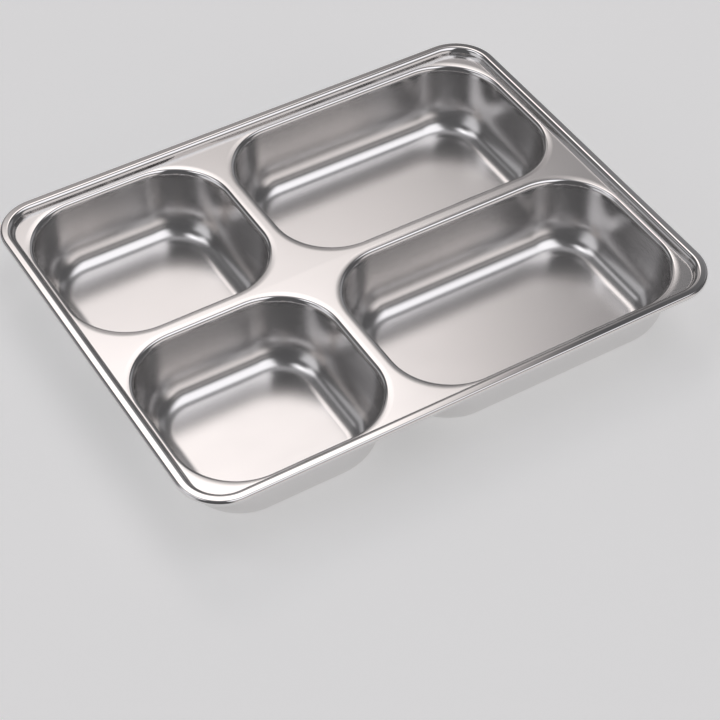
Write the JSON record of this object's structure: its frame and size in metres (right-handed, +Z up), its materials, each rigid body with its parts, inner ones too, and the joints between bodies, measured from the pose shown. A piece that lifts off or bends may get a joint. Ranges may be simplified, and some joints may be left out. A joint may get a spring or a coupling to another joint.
{
  "type": "compartment tray",
  "caption": "Shallow rectangular serving tray of satin stainless sheet: a deck panel with a stepped, rolled rim carries drawn wells with rounded corners that keep foods apart.",
  "frame": {"origin": "middle of the tray in plan, on the plane that the undersides of the well floors stand on", "axes": "+X along the tray from the small wells to the long wells, +Y across it from front to rear, +Z up out of the wells"},
  "size_m": [0.28, 0.221, 0.039],
  "materials": {
    "panel_steel": "bright satin on the deck, polished on the rim",
    "well_steel": "satin, with fine straight grain on the floors"
  },
  "bodies": {
    "root": {"deck_panel": "panel_steel", "well_small_front": "well_steel", "well_small_rear": "well_steel", "well_long_front": "well_steel", "well_long_rear": "well_steel"}
  },
  "joints": []
}
